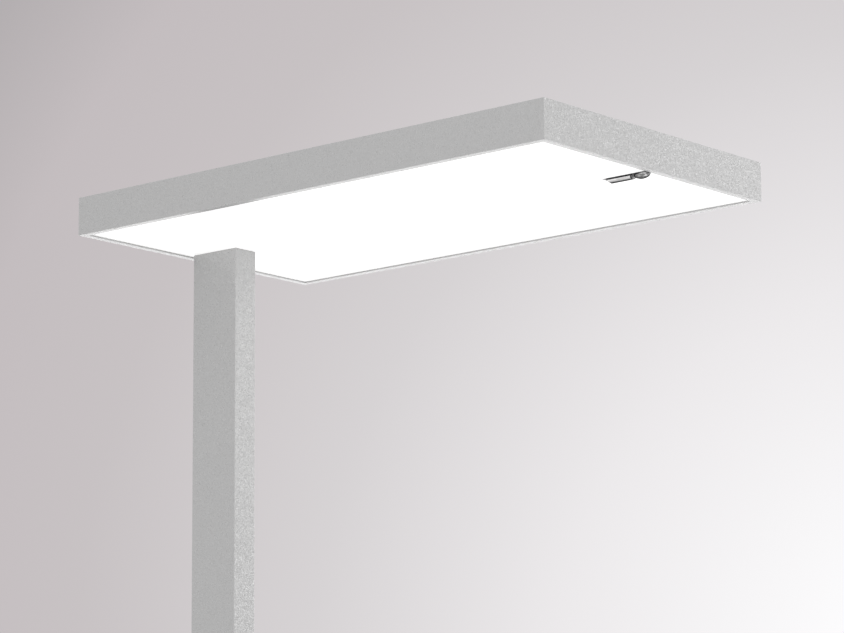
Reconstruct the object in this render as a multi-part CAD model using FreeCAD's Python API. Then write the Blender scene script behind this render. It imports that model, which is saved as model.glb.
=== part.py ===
import FreeCAD, Part
import math
import os

from FreeCAD import Vector

# Office floor lamp: a flat rectangular light head on one end of a slim rectangular mast,
# which stands on a steel base plate. The head shines down through an opal diffuser and up
# through a frosted window, and a small tilting light and presence sensor sits at its front.
#
# Millimetres. +Z is up, +X is the way the head reaches out from the mast, and the origin is
# on the floor, on the mast's axis. "Front" is the +X end, "left" is +Y and "right" is -Y.

PARTS_FOLDER = "parts"

# ---- Driving dimensions -------------------------------------------------------------------

OVERALL_HEIGHT = 1950.0         # floor to the top of the head

# Light head
HEAD_LENGTH = 600.0
HEAD_WIDTH = 337.0
HEAD_HEIGHT = 39.0
HEAD_OVERHANG = 12.0            # how far the head reaches back past the mast's rear face
RAIL_WALL = 2.0
LIP_WIDTH = 7.7                 # rim seen from below, outer face to inner edge
LIP_THICKNESS = 1.6             # the diffuser lies on the lip, so it sits this far inside
LEDGE_WIDTH = 9.0
LEDGE_THICKNESS = 1.5
DIFFUSER_THICKNESS = 3.0
DIFFUSER_CLEARANCE = 0.5
TRAY_THICKNESS = 1.5
TRAY_SKIRT = 1.2
TRAY_CLEARANCE = 0.5
COVER_THICKNESS = 1.5
COVER_CLEARANCE = 0.3
COVER_BORDER = 42.0             # solid cover round the uplight window, front and sides
COVER_REAR_BORDER = 150.0       # solid cover over the mast's bracket
WINDOW_THICKNESS = 2.0
WINDOW_LAP = 8.0                # how far the window reaches under the cover
MITRE_MARGIN = 1.0

# Corner keys inside the head's frame
KEY_ARM = 46.0
KEY_WIDTH = 14.0
KEY_SCREW_NEAR = 22.0           # from the head's outer corner
KEY_SCREW_FAR = 38.0
COVER_SCREW_CORNER = 75.0       # cover screws nearest the corners

# Bracket that carries the head on the mast, and the two spines that carry the tray
FLANGE_WIDTH = 110.0
FLANGE_SETBACK = 0.5            # from the rear rail's ledge
FLANGE_FRONT = 16.0             # thick part of the flange, in front of the mast
LAP_LENGTH = 50.0
LAP_THICKNESS = 3.0
LAP_CLEARANCE = 0.2
LAP_SCREW_SPACING = 26.0
SPIGOT_LENGTH = 120.0
SPIGOT_CLEARANCE = 0.2
SPIGOT_SCREW_SPACING = 30.0
SPIGOT_SCREW_DROP = 12.0        # below the tray
SPINE_HEIGHT = 5.5
SPINE_WIDTH = 20.0
SPINE_CLEARANCE = 0.5           # spine to the window above it
SPINE_FRONT_GAP = 2.0
TRAY_SCREWS_PER_SPINE = 4

# Light boards
BOARD_THICKNESS = 1.6
BOARD_END_MARGIN = 22.0
DOWN_BOARD_WIDTH = 17.0
DOWN_BOARD_PITCH = 50.0
DOWN_BOARDS_PER_SIDE = 3
UP_BOARD_WIDTH = 24.0
UP_BOARD_OFFSET = 100.0
UP_BOARD_FRONT_MARGIN = 62.0
LED_SIZE = 3.0
LED_HEIGHT = 0.8
LED_PITCH = 30.0

# Mast
MAST_DEPTH = 60.0               # along X
MAST_WIDTH = 30.0               # along Y
MAST_WALL = 2.0
MAST_CORNER_RADIUS = 0.8
MAST_OPENING_CLEARANCE = 0.5    # mast to the diffuser and the tray

# Base
BASE_LENGTH = 400.0
BASE_WIDTH = 300.0
BASE_THICKNESS = 10.0
BASE_REAR = 60.0                # from the mast's axis back to the plate's rear edge
BASE_CORNER_RADIUS = 5.0
BASE_EDGE_CHAMFER = 0.8
MAT_THICKNESS = 2.0
MAT_INSET = 6.0
FOOT_BLOCK_HEIGHT = 70.0
FOOT_BLOCK_CLEARANCE = 0.2
FOOT_SCREW_SPACING = 28.0
FOOT_SCREW_LENGTH = 42.0
GRUB_SCREW_SPACING = 30.0
GRUB_SCREW_LENGTH = 10.0

# Screws: shank radii, and what every screw shares
SMALL_SCREW = 1.25
COVER_SCREW = 1.5
FRAME_SCREW = 2.0
GRUB_SCREW = 2.5
FOOT_SCREW = 4.0
SCREW_HEAD_RATIO = 1.85         # head radius over shank radius
SCREW_SOCKET_RATIO = 0.85       # hexagon socket's corner radius over shank radius
SCREW_CLEARANCE = 0.1
SCREW_END_GAP = 0.5             # free hole past a screw's tip
PAN_HEAD_RATIO = 1.1            # pan head height over shank radius
COVER_SCREW_LENGTH = 5.0
KEY_SCREW_LENGTH = 6.0
TRAY_SCREW_LENGTH = 5.0
SENSOR_SCREW_LENGTH = 8.0

# Tilting sensor under the head's front end
SENSOR_TO_FRONT = 17.75         # pivot to the head's front face
SENSOR_TUBE_DIAMETER = 6.0
SENSOR_TUBE_LENGTH = 30.0
SENSOR_TUBE_WALL = 0.6
SENSOR_PROUD = 3.0              # how far the tube stands below the head's rim
SENSOR_COLLAR_LENGTH = 2.7
SENSOR_LENS_LENGTH = 8.0
SENSOR_LENS_RECESS = 0.4
SENSOR_PLUG_DEPTH = 5.0
SENSOR_FIT = 0.05               # lens and plug to the tube's bore, and tongue to pin
KNUCKLE_LENGTH = 18.5
KNUCKLE_DIAMETER = 8.0
KNUCKLE_GAP = 0.3               # knuckle to the collar, and round the tongue's end
STEM_DIAMETER = 4.5
STEM_OFFSET = 5.0               # from the pivot towards the front
TONGUE_THICKNESS = 2.4
TONGUE_HEIGHT = 4.0
TONGUE_END_RADIUS = 2.6
TONGUE_SIDE_CLEARANCE = 0.2
PIVOT_PIN_DIAMETER = 1.6
PIVOT_PIN_LENGTH = 7.2
PIVOT_EAR_CLEARANCE = 0.02
TROUGH_GAP = 0.5                # knuckle and tube to the trough
TROUGH_WALL = 1.0
TROUGH_FLANGE = 3.0
TROUGH_END_GAP = 1.5            # past the tube's free end
TROUGH_FIT = 0.1
SENSOR_BOARD_LENGTH = 20.0
SENSOR_BOARD_WIDTH = 16.0
SENSOR_BOARD_GAP = 4.0          # from the stem to the board

# Control panel on the mast's front face
CONTROL_HEIGHT = 1100.0         # floor to the middle of the panel
PANEL_LENGTH = 66.0
PANEL_WIDTH = 22.0
PANEL_THICKNESS = 1.5
PANEL_CORNER_RADIUS = 3.0
PANEL_BODY_MARGIN = 3.0
PANEL_BODY_DEPTH = 5.0          # behind the mast's front face
PANEL_CUTOUT_CLEARANCE = 0.2
BUTTON_DIAMETER = 12.0
BUTTON_SPACING = 30.0
BUTTON_PROUD = 1.5
BUTTON_TRAVEL = 0.8
BUTTON_CLEARANCE = 0.3
BUTTON_FLANGE_WIDTH = 0.9
BUTTON_FLANGE_THICKNESS = 1.0
BUTTON_EDGE_RADIUS = 0.5
BUTTON_DISH_DEPTH = 0.4
SWITCH_SIDE = 6.0
SWITCH_HEIGHT = 2.4
SWITCH_FLOOR = 0.2
SWITCH_CLEARANCE = 0.3          # pressed button's flange to the switch
PLUNGER_DIAMETER = 3.0
PLUNGER_CLEARANCE = 0.08
PLUNGER_END_GAP = 0.2
CONTROL_BOARD_INSET = 0.8

# Mains inlet in the mast's rear face
INLET_HEIGHT = 122.0            # floor to the middle of the inlet
INLET_FLANGE_LENGTH = 31.0
INLET_FLANGE_WIDTH = 23.0
INLET_FLANGE_THICKNESS = 2.0
INLET_FLANGE_RADIUS = 2.0
INLET_BODY_LENGTH = 27.4
INLET_BODY_WIDTH = 20.0
INLET_BODY_DEPTH = 22.0
INLET_CUTOUT_CLEARANCE = 0.2
INLET_MOUTH_LENGTH = 24.4
INLET_MOUTH_WIDTH = 16.8
INLET_MOUTH_DEPTH = 16.5
INLET_MOUTH_CHAMFER = 4.2
PIN_WIDTH = 4.0
PIN_THICKNESS = 2.0
PIN_LENGTH = 11.0               # free length in the mouth
PIN_TAB_LENGTH = 5.0            # behind the housing
PIN_SPACING = 14.0              # live to neutral
PIN_STAGGER = 4.0               # earth pin to the line of the other two

# Electrical parts inside the mast
STRIP_THICKNESS = 1.5
STRIP_WALL_GAP = 0.5
STRIP_SCREW_SPACING = 32.0
DRIVER_WIDTH = 36.0
DRIVER_FORWARD = 2.0            # driver's middle, in front of the mast's axis
DRIVER_THICKNESS = 17.0
DRIVER_LENGTH = 360.0
DRIVER_TOP_GAP = 40.0           # below the strip's tab
TERMINAL_LENGTH = 24.0
TERMINAL_THICKNESS = 15.0
TERMINAL_GAP = 5.0
STRIP_TAIL = 4.0                # strip below the terminal block
MAINS_CABLE_DIAMETER = 7.0
MAINS_CABLE_X = 9.0
MAINS_CABLE_BEND = 8.0
HEAD_CABLE_DIAMETER = 5.0
HEAD_CABLE_BEND = 14.0
HEAD_CABLE_BORE = 12.0
HEAD_CABLE_CLEARANCE = 0.25
CONTROL_CABLE_DIAMETER = 2.4

# ---- Levels and faces that several pieces share -------------------------------------------

MAST_FRONT = MAST_DEPTH / 2
MAST_REAR = -MAST_DEPTH / 2
MAST_SIDE = MAST_WIDTH / 2

HEAD_REAR = MAST_REAR - HEAD_OVERHANG
HEAD_FRONT = HEAD_REAR + HEAD_LENGTH
HEAD_SIDE = HEAD_WIDTH / 2
HEAD_UNDERSIDE = OVERALL_HEIGHT - HEAD_HEIGHT
LIP_TOP = HEAD_UNDERSIDE + LIP_THICKNESS
DIFFUSER_TOP = LIP_TOP + DIFFUSER_THICKNESS
LEDGE_TOP = OVERALL_HEIGHT - COVER_THICKNESS
LEDGE_UNDERSIDE = LEDGE_TOP - LEDGE_THICKNESS
WINDOW_UNDERSIDE = LEDGE_TOP - WINDOW_THICKNESS
SPINE_TOP = WINDOW_UNDERSIDE - SPINE_CLEARANCE
TRAY_TOP = SPINE_TOP - SPINE_HEIGHT
TRAY_UNDERSIDE = TRAY_TOP - TRAY_THICKNESS

BASE_UNDERSIDE = MAT_THICKNESS
BASE_TOP = BASE_UNDERSIDE + BASE_THICKNESS

FLANGE_FRONT_X = MAST_FRONT + FLANGE_FRONT
LAP_FRONT_X = FLANGE_FRONT_X + LAP_LENGTH
SPINE_Y = (FLANGE_WIDTH - SPINE_WIDTH) / 2
SPINE_FRONT_X = HEAD_FRONT - RAIL_WALL - SPINE_FRONT_GAP
SPIGOT_BOTTOM = TRAY_TOP - SPIGOT_LENGTH
LEDGE_SCREW_INSET = (RAIL_WALL + LEDGE_WIDTH) / 2

PIVOT_X = HEAD_FRONT - SENSOR_TO_FRONT
SENSOR_Z = HEAD_UNDERSIDE - SENSOR_PROUD + SENSOR_TUBE_DIAMETER / 2
SENSOR_TUBE_REAR_X = PIVOT_X - KNUCKLE_LENGTH / 2 - KNUCKLE_GAP - SENSOR_COLLAR_LENGTH
SENSOR_TUBE_END_X = SENSOR_TUBE_REAR_X - SENSOR_TUBE_LENGTH
STEM_X = PIVOT_X + STEM_OFFSET

PANEL_REAR_X = MAST_FRONT - PANEL_BODY_DEPTH
BUTTON_FRONT_X = MAST_FRONT + PANEL_THICKNESS + BUTTON_PROUD
BUTTON_REAR_X = PANEL_REAR_X - BUTTON_FLANGE_THICKNESS
SWITCH_TOP_X = BUTTON_REAR_X - BUTTON_TRAVEL - SWITCH_CLEARANCE
BOARD_FRONT_X = SWITCH_TOP_X - SWITCH_HEIGHT
BOARD_REAR_X = BOARD_FRONT_X - BOARD_THICKNESS
CONTROL_BOARD_LENGTH = PANEL_LENGTH - 2 * PANEL_BODY_MARGIN - 2 * CONTROL_BOARD_INSET

INLET_FACE_X = MAST_REAR - INLET_FLANGE_THICKNESS
INLET_FLOOR_X = INLET_FACE_X + INLET_MOUTH_DEPTH
INLET_REAR_X = MAST_REAR + INLET_BODY_DEPTH
PIN_TAB_X = INLET_REAR_X + PIN_TAB_LENGTH

STRIP_TOP = SPIGOT_BOTTOM
STRIP_Y = -MAST_SIDE + MAST_WALL + STRIP_WALL_GAP
DRIVER_Y = STRIP_Y + STRIP_THICKNESS
DRIVER_REAR_X = DRIVER_FORWARD - DRIVER_WIDTH / 2
DRIVER_FRONT_X = DRIVER_FORWARD + DRIVER_WIDTH / 2
DRIVER_TOP = STRIP_TOP - STRIP_THICKNESS - DRIVER_TOP_GAP
DRIVER_BOTTOM = DRIVER_TOP - DRIVER_LENGTH
TERMINAL_TOP = DRIVER_BOTTOM - TERMINAL_GAP
TERMINAL_BOTTOM = TERMINAL_TOP - TERMINAL_LENGTH

UP = Vector(0, 0, 1)
DOWN = Vector(0, 0, -1)
FORWARD = Vector(1, 0, 0)
BACKWARD = Vector(-1, 0, 0)
LEFT = Vector(0, 1, 0)


# ---- Shapes that several pieces use --------------------------------------------------------

def block(x0, x1, y0, y1, z0, z1):
    """A box between two opposite corners."""
    return Part.makeBox(x1 - x0, y1 - y0, z1 - z0, Vector(x0, y0, z0))


def mast_section(margin, z0, z1):
    """A box round the mast's axis that is larger than the mast by margin on each side."""
    return block(
        MAST_REAR - margin, MAST_FRONT + margin, -MAST_SIDE - margin, MAST_SIDE + margin, z0, z1
    )


def head_section(inset, z0, z1):
    """A box with the head's outline, set in by inset on all four sides."""
    return block(
        HEAD_REAR + inset, HEAD_FRONT - inset, -HEAD_SIDE + inset, HEAD_SIDE - inset, z0, z1
    )


def cylinder(radius, length, start, direction):
    """A round bar from start along direction."""
    return Part.makeCylinder(radius, length, start, direction)


def rounded_plate(x0, x1, y0, y1, z0, z1, radius):
    """A flat plate with its four upright corners rounded."""
    plate = block(x0, x1, y0, y1, z0, z1)
    upright = [e for e in plate.Edges if abs(e.tangentAt(e.FirstParameter).z) > 0.99]
    return plate.makeFillet(radius, upright)


def face_plate(x0, x1, width, length, z, radius):
    """A plate that lies on a mast face: width along Y, length along Z about the height z."""
    plate = block(x0, x1, -width / 2, width / 2, z - length / 2, z + length / 2)
    along_x = [e for e in plate.Edges if abs(e.tangentAt(e.FirstParameter).x) > 0.99]
    return plate.makeFillet(radius, along_x)


def cable(points, bend, diameter):
    """A round cable along straight runs joined by tangent arcs of one bend radius."""
    edges = []
    start = points[0]
    for corner, after in zip(points[1:-1], points[2:]):
        arriving = (corner - start).normalize()
        leaving = (after - corner).normalize()
        half_turn = arriving.getAngle(leaving) / 2
        cut_back = bend * math.tan(half_turn)
        arc_start = corner - arriving * cut_back
        arc_end = corner + leaving * cut_back
        inward = (leaving - arriving).normalize()
        arc_middle = corner + inward * (bend / math.cos(half_turn) - bend)
        edges.append(Part.LineSegment(start, arc_start).toShape())
        edges.append(Part.Arc(arc_start, arc_middle, arc_end).toShape())
        start = arc_end
    edges.append(Part.LineSegment(start, points[-1]).toShape())
    path = Part.Wire(edges)
    circle = Part.Circle(points[0], points[1] - points[0], diameter / 2)
    return path.makePipeShell([Part.Wire(circle.toShape())], True, False)


# ---- Screws ---------------------------------------------------------------------------------

def countersunk_body(top, direction, radius, length, clearance=0.0):
    """A flush screw without its socket, or its hole when it has a clearance."""
    wide = SCREW_HEAD_RATIO * radius
    head = Part.makeCone(
        wide + clearance, radius + clearance, wide - radius, top, direction
    )
    shank = cylinder(radius + clearance, length, top, direction)
    return head.fuse(shank)


def hexagon_socket(top, direction, radius):
    """The prism that a hexagon key fits, as deep as the screw's shank radius times its ratio."""
    corner = SCREW_SOCKET_RATIO * radius
    side = direction.cross(Vector(direction.y, direction.z, direction.x)).normalize()
    other = direction.cross(side)
    ring = [
        top + side * (corner * math.cos(k * math.pi / 3)) + other * (corner * math.sin(k * math.pi / 3))
        for k in range(6)
    ]
    face = Part.Face(Part.makePolygon(ring + ring[:1]))
    return face.extrude(direction * corner)


def countersunk_screw(top, direction, radius, length):
    """A flush screw whose head's flat side is centred on top."""
    body = countersunk_body(top, direction, radius, length)
    return body.cut(hexagon_socket(top, direction, radius))


def countersunk_hole(top, direction, radius, length):
    """The hole for a flush screw."""
    return countersunk_body(top, direction, radius, length + SCREW_END_GAP, SCREW_CLEARANCE)


def pan_screw(seat, direction, radius, length):
    """A screw whose pan head stands on the surface at seat and whose shank goes into it."""
    height = PAN_HEAD_RATIO * radius
    head_top = seat - direction * height
    head = cylinder(SCREW_HEAD_RATIO * radius, height, head_top, direction)
    shank = cylinder(radius, length, seat, direction)
    return head.fuse(shank).cut(hexagon_socket(head_top, direction, radius))


def straight_hole(start, direction, radius, length):
    """A plain hole for a screw's shank."""
    return cylinder(radius + SCREW_CLEARANCE, length + SCREW_END_GAP, start, direction)


# ---- Where the screws go --------------------------------------------------------------------

def corner_signs():
    """The head's four corners as signs along X and Y."""
    return [(-1, -1), (1, -1), (1, 1), (-1, 1)]


def key_screw_tops():
    """Two screws on each arm of every corner key, down through the frame's ledge."""
    tops = []
    for sign_x, sign_y in corner_signs():
        corner_x = HEAD_FRONT if sign_x > 0 else HEAD_REAR
        corner_y = sign_y * HEAD_SIDE
        for far in (KEY_SCREW_NEAR, KEY_SCREW_FAR):
            tops.append(
                Vector(corner_x - sign_x * far, corner_y - sign_y * LEDGE_SCREW_INSET, LEDGE_TOP)
            )
            tops.append(
                Vector(corner_x - sign_x * LEDGE_SCREW_INSET, corner_y - sign_y * far, LEDGE_TOP)
            )
    return tops


def cover_screw_tops():
    """Three screws along each long side of the cover and one in the middle of each end."""
    middle_x = (HEAD_REAR + HEAD_FRONT) / 2
    rows = (HEAD_REAR + COVER_SCREW_CORNER, middle_x, HEAD_FRONT - COVER_SCREW_CORNER)
    side = HEAD_SIDE - LEDGE_SCREW_INSET
    tops = [Vector(x, sign * side, OVERALL_HEIGHT) for x in rows for sign in (-1, 1)]
    tops.append(Vector(HEAD_REAR + LEDGE_SCREW_INSET, 0, OVERALL_HEIGHT))
    tops.append(Vector(HEAD_FRONT - LEDGE_SCREW_INSET, 0, OVERALL_HEIGHT))
    return tops


def lap_screw_tops():
    """Two screws where each spine laps over the bracket's flange."""
    middle_x = (FLANGE_FRONT_X + LAP_FRONT_X) / 2
    return [
        Vector(middle_x + end * LAP_SCREW_SPACING / 2, side * SPINE_Y, SPINE_TOP)
        for side in (-1, 1)
        for end in (-1, 1)
    ]


def tray_screw_seats():
    """Screws up through the tray into each spine, evenly spaced in front of the lap."""
    first = LAP_FRONT_X + BOARD_END_MARGIN
    step = (SPINE_FRONT_X - BOARD_END_MARGIN - first) / (TRAY_SCREWS_PER_SPINE - 1)
    return [
        Vector(first + k * step, side * SPINE_Y, TRAY_UNDERSIDE)
        for side in (-1, 1)
        for k in range(TRAY_SCREWS_PER_SPINE)
    ]


def spigot_screw_seats():
    """Screws through the mast's two sides into the spigot, hidden above the diffuser."""
    z = TRAY_UNDERSIDE - SPIGOT_SCREW_DROP
    return [
        (Vector(end * SPIGOT_SCREW_SPACING / 2, side * MAST_SIDE, z), LEFT * -side)
        for side in (-1, 1)
        for end in (-1, 1)
    ]


def foot_screw_tops():
    """Two screws up through the base plate into the foot block."""
    return [Vector(side * FOOT_SCREW_SPACING / 2, 0, BASE_UNDERSIDE) for side in (-1, 1)]


def grub_screw_starts():
    """Two grub screws through the mast's rear face into the foot block."""
    middle = BASE_TOP + FOOT_BLOCK_HEIGHT / 2
    return [Vector(MAST_REAR, 0, middle + side * GRUB_SCREW_SPACING / 2) for side in (-1, 1)]


def strip_screw_seats():
    """Two screws up through the driver strip's tab into the spigot."""
    z = STRIP_TOP - STRIP_THICKNESS
    return [Vector(side * STRIP_SCREW_SPACING / 2, 0, z) for side in (-1, 1)]


# ---- Base -----------------------------------------------------------------------------------

def base_plate():
    """The steel plate, with its upper edges eased and countersunk holes from below."""
    plate = rounded_plate(
        -BASE_REAR,
        BASE_LENGTH - BASE_REAR,
        -BASE_WIDTH / 2,
        BASE_WIDTH / 2,
        BASE_UNDERSIDE,
        BASE_TOP,
        BASE_CORNER_RADIUS,
    )
    upper = [e for e in plate.Edges if e.BoundBox.ZMin > BASE_TOP - BASE_EDGE_CHAMFER]
    plate = plate.makeChamfer(BASE_EDGE_CHAMFER, upper)
    holes = [countersunk_hole(p, UP, FOOT_SCREW, FOOT_SCREW_LENGTH) for p in foot_screw_tops()]
    return plate.cut(holes)


def floor_mat():
    """The rubber sheet under the plate, which the lamp stands on."""
    return rounded_plate(
        MAT_INSET - BASE_REAR,
        BASE_LENGTH - BASE_REAR - MAT_INSET,
        MAT_INSET - BASE_WIDTH / 2,
        BASE_WIDTH / 2 - MAT_INSET,
        0,
        MAT_THICKNESS,
        BASE_CORNER_RADIUS,
    )


def mast_foot_block():
    """The block inside the mast's foot, which the base screws pull down."""
    margin = -MAST_WALL - FOOT_BLOCK_CLEARANCE
    foot = mast_section(margin, BASE_TOP, BASE_TOP + FOOT_BLOCK_HEIGHT)
    holes = [countersunk_hole(p, UP, FOOT_SCREW, FOOT_SCREW_LENGTH) for p in foot_screw_tops()]
    holes += [
        straight_hole(p, FORWARD, GRUB_SCREW, GRUB_SCREW_LENGTH) for p in grub_screw_starts()
    ]
    return foot.cut(holes)


def foot_screws():
    return [
        countersunk_screw(p, UP, FOOT_SCREW, FOOT_SCREW_LENGTH) for p in foot_screw_tops()
    ]


def foot_grub_screws():
    screws = []
    for start in grub_screw_starts():
        body = cylinder(GRUB_SCREW, GRUB_SCREW_LENGTH, start, FORWARD)
        screws.append(body.cut(hexagon_socket(start, FORWARD, GRUB_SCREW)))
    return screws


# ---- Mast -----------------------------------------------------------------------------------

def mast_tube():
    """The rectangular tube, from the base plate up into the head, with its cut-outs."""
    outer = mast_section(0, BASE_TOP, TRAY_TOP)
    upright = [e for e in outer.Edges if abs(e.tangentAt(e.FirstParameter).z) > 0.99]
    outer = outer.makeFillet(MAST_CORNER_RADIUS, upright)
    hollow = mast_section(-MAST_WALL, BASE_TOP, TRAY_TOP)
    cuts = [hollow, control_cutout(), inlet_cutout()]
    cuts += [
        straight_hole(p, FORWARD, GRUB_SCREW, GRUB_SCREW_LENGTH) for p in grub_screw_starts()
    ]
    cuts += [
        straight_hole(p, direction, FRAME_SCREW, MAST_WALL)
        for p, direction in spigot_screw_seats()
    ]
    return outer.cut(cuts)


def control_cutout():
    """The hole in the mast's front wall for the control panel's body."""
    half_width = PANEL_WIDTH / 2 - PANEL_BODY_MARGIN + PANEL_CUTOUT_CLEARANCE
    half_length = PANEL_LENGTH / 2 - PANEL_BODY_MARGIN + PANEL_CUTOUT_CLEARANCE
    return block(
        MAST_FRONT - 2 * MAST_WALL,
        MAST_FRONT + MAST_WALL,
        -half_width,
        half_width,
        CONTROL_HEIGHT - half_length,
        CONTROL_HEIGHT + half_length,
    )


def inlet_cutout():
    """The hole in the mast's rear wall for the mains inlet's body."""
    half_width = INLET_BODY_WIDTH / 2 + INLET_CUTOUT_CLEARANCE
    half_length = INLET_BODY_LENGTH / 2 + INLET_CUTOUT_CLEARANCE
    return block(
        MAST_REAR - MAST_WALL,
        MAST_REAR + 2 * MAST_WALL,
        -half_width,
        half_width,
        INLET_HEIGHT - half_length,
        INLET_HEIGHT + half_length,
    )


# ---- Mains inlet ------------------------------------------------------------------------------

def inlet_pin_places():
    """The three pins as offsets along Y and Z: live, neutral and earth."""
    return [
        (-PIN_STAGGER / 2, -PIN_SPACING / 2),
        (-PIN_STAGGER / 2, PIN_SPACING / 2),
        (PIN_STAGGER / 2, 0),
    ]


def inlet_pins():
    """Flat pins that reach from the mouth through the housing to their tabs."""
    start = INLET_FLOOR_X - PIN_LENGTH
    return [
        block(
            start,
            PIN_TAB_X,
            y - PIN_WIDTH / 2,
            y + PIN_WIDTH / 2,
            INLET_HEIGHT + z - PIN_THICKNESS / 2,
            INLET_HEIGHT + z + PIN_THICKNESS / 2,
        )
        for y, z in inlet_pin_places()
    ]


def inlet_mouth():
    """The socket's hollow, with two corners cut off on the earth pin's side."""
    half_width = INLET_MOUTH_WIDTH / 2
    half_length = INLET_MOUTH_LENGTH / 2
    outline = [
        (-half_width, -half_length),
        (half_width - INLET_MOUTH_CHAMFER, -half_length),
        (half_width, -half_length + INLET_MOUTH_CHAMFER),
        (half_width, half_length - INLET_MOUTH_CHAMFER),
        (half_width - INLET_MOUTH_CHAMFER, half_length),
        (-half_width, half_length),
    ]
    corners = [Vector(INLET_FACE_X, y, INLET_HEIGHT + z) for y, z in outline]
    face = Part.Face(Part.makePolygon(corners + corners[:1]))
    return face.extrude(FORWARD * INLET_MOUTH_DEPTH)


def inlet_housing():
    """The appliance inlet's moulded housing, with its flange on the mast's rear face."""
    flange = face_plate(
        INLET_FACE_X,
        MAST_REAR,
        INLET_FLANGE_WIDTH,
        INLET_FLANGE_LENGTH,
        INLET_HEIGHT,
        INLET_FLANGE_RADIUS,
    )
    body = block(
        MAST_REAR,
        INLET_REAR_X,
        -INLET_BODY_WIDTH / 2,
        INLET_BODY_WIDTH / 2,
        INLET_HEIGHT - INLET_BODY_LENGTH / 2,
        INLET_HEIGHT + INLET_BODY_LENGTH / 2,
    )
    return flange.fuse(body).cut([inlet_mouth()] + inlet_pins()).removeSplitter()


# ---- Control panel ----------------------------------------------------------------------------

def button_heights():
    return {
        "up": CONTROL_HEIGHT + BUTTON_SPACING / 2,
        "down": CONTROL_HEIGHT - BUTTON_SPACING / 2,
    }


def control_panel():
    """The panel on the mast's front face, with a bore for each button."""
    plate = face_plate(
        MAST_FRONT,
        MAST_FRONT + PANEL_THICKNESS,
        PANEL_WIDTH,
        PANEL_LENGTH,
        CONTROL_HEIGHT,
        PANEL_CORNER_RADIUS,
    )
    body = block(
        PANEL_REAR_X,
        MAST_FRONT,
        PANEL_BODY_MARGIN - PANEL_WIDTH / 2,
        PANEL_WIDTH / 2 - PANEL_BODY_MARGIN,
        CONTROL_HEIGHT - PANEL_LENGTH / 2 + PANEL_BODY_MARGIN,
        CONTROL_HEIGHT + PANEL_LENGTH / 2 - PANEL_BODY_MARGIN,
    )
    posts = board_posts()
    bore_depth = MAST_FRONT + PANEL_THICKNESS - PANEL_REAR_X
    bores = [
        cylinder(
            BUTTON_DIAMETER / 2 + BUTTON_CLEARANCE, bore_depth, Vector(PANEL_REAR_X, 0, z), FORWARD
        )
        for z in button_heights().values()
    ]
    return plate.fuse([body] + posts).cut(bores).removeSplitter()


def board_posts():
    """Two end walls behind the panel that hold the control board."""
    half_width = PANEL_WIDTH / 2 - PANEL_BODY_MARGIN
    half_length = PANEL_LENGTH / 2 - PANEL_BODY_MARGIN
    post = (PANEL_LENGTH - 2 * PANEL_BODY_MARGIN - BUTTON_SPACING - BUTTON_DIAMETER) / 4
    return [
        block(
            BOARD_FRONT_X,
            PANEL_REAR_X,
            -half_width,
            half_width,
            CONTROL_HEIGHT + min(side * half_length, side * (half_length - post)),
            CONTROL_HEIGHT + max(side * half_length, side * (half_length - post)),
        )
        for side in (-1, 1)
    ]


def control_board():
    """The circuit board behind the buttons."""
    half_width = PANEL_WIDTH / 2 - PANEL_BODY_MARGIN - CONTROL_BOARD_INSET
    return block(
        BOARD_REAR_X,
        BOARD_FRONT_X,
        -half_width,
        half_width,
        CONTROL_HEIGHT - CONTROL_BOARD_LENGTH / 2,
        CONTROL_HEIGHT + CONTROL_BOARD_LENGTH / 2,
    )


def switch_bodies():
    """The two push switches on the board, each with a bore for its plunger."""
    bodies = []
    for z in button_heights().values():
        body = block(
            BOARD_FRONT_X,
            SWITCH_TOP_X,
            -SWITCH_SIDE / 2,
            SWITCH_SIDE / 2,
            z - SWITCH_SIDE / 2,
            z + SWITCH_SIDE / 2,
        )
        bore = cylinder(
            PLUNGER_DIAMETER / 2 + PLUNGER_CLEARANCE,
            SWITCH_HEIGHT - SWITCH_FLOOR,
            Vector(BOARD_FRONT_X + SWITCH_FLOOR, 0, z),
            FORWARD,
        )
        bodies.append(body.cut(bore))
    return bodies


def button(z):
    """A push button: a dished cap in the panel's bore, held in by a flange behind the panel."""
    radius = BUTTON_DIAMETER / 2
    cap = cylinder(radius, BUTTON_FRONT_X - BUTTON_REAR_X, Vector(BUTTON_REAR_X, 0, z), FORWARD)
    front = [e for e in cap.Edges if e.BoundBox.XMin > BUTTON_FRONT_X - BUTTON_EDGE_RADIUS]
    cap = cap.makeFillet(BUTTON_EDGE_RADIUS, front)
    dish_width = radius - 2 * BUTTON_EDGE_RADIUS
    dish_radius = (dish_width ** 2 + BUTTON_DISH_DEPTH ** 2) / (2 * BUTTON_DISH_DEPTH)
    dish_centre = Vector(BUTTON_FRONT_X - BUTTON_DISH_DEPTH + dish_radius, 0, z)
    flange = cylinder(
        radius + BUTTON_CLEARANCE + BUTTON_FLANGE_WIDTH,
        BUTTON_FLANGE_THICKNESS,
        Vector(BUTTON_REAR_X, 0, z),
        FORWARD,
    )
    return cap.cut(Part.makeSphere(dish_radius, dish_centre)).fuse(flange).removeSplitter()


def plunger(z):
    """The switch's plunger, which the button pushes into the switch."""
    start = BOARD_FRONT_X + SWITCH_FLOOR + PLUNGER_END_GAP + BUTTON_TRAVEL
    return cylinder(PLUNGER_DIAMETER / 2, BUTTON_REAR_X - start, Vector(start, 0, z), FORWARD)


# ---- Electrical parts inside the mast ------------------------------------------------------------

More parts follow.
